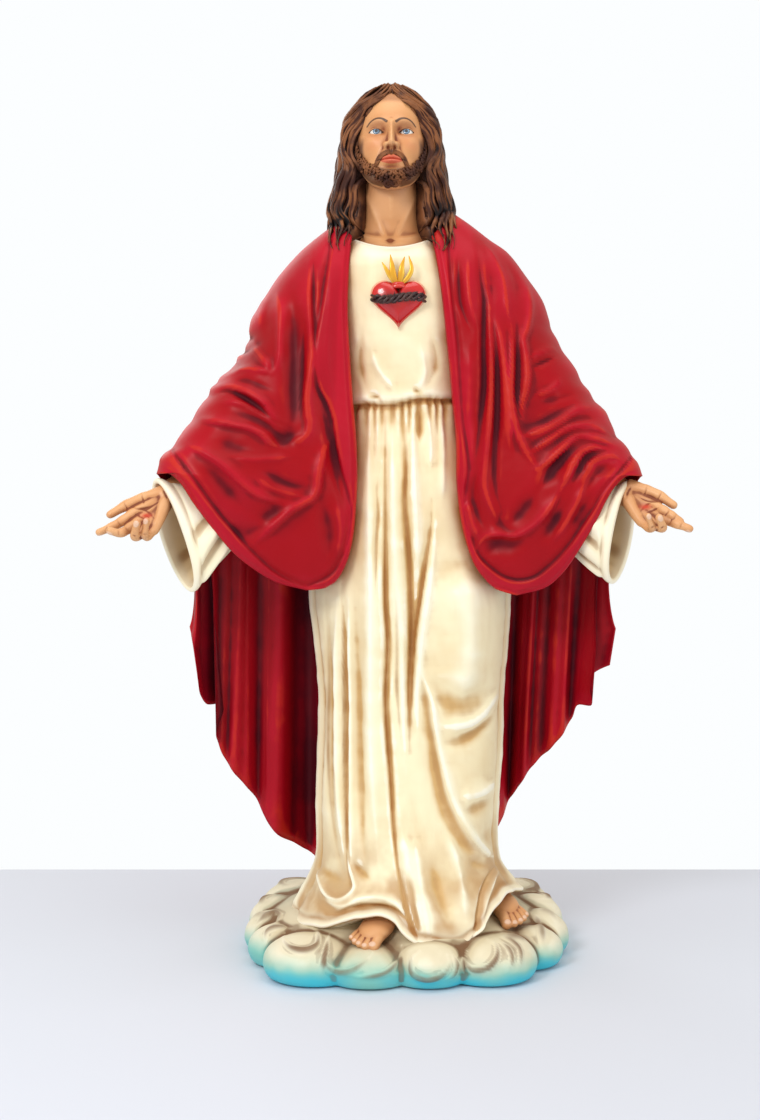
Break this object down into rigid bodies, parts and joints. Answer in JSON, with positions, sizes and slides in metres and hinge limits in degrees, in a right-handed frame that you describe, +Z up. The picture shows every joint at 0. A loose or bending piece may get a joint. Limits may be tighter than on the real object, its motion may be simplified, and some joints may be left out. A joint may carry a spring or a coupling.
{
  "type": "sacred heart statue",
  "caption": "Standing robed and cloaked figure with open hands and a heart on the chest, cast in one piece with its low bank of cloud.",
  "frame": {"origin": "on the floor under the middle of the cloud base's flat underside", "axes": "+Z up, the figure faces -Y, +X to the viewer's right"},
  "size_m": [1.0772, 0.6065, 1.655],
  "materials": {
    "cloak_red": "satin painted casting",
    "robe_cream": "satin painted casting",
    "flesh": "satin painted casting",
    "hair_brown": "satin painted casting",
    "gold": "gold paint",
    "heart_red": "gloss painted casting",
    "thorn_dark": "satin painted casting",
    "cloud_blue": "satin painted casting"
  },
  "bodies": {
    "root": {"sacred_heart_statue": "cloak_red"}
  },
  "joints": []
}
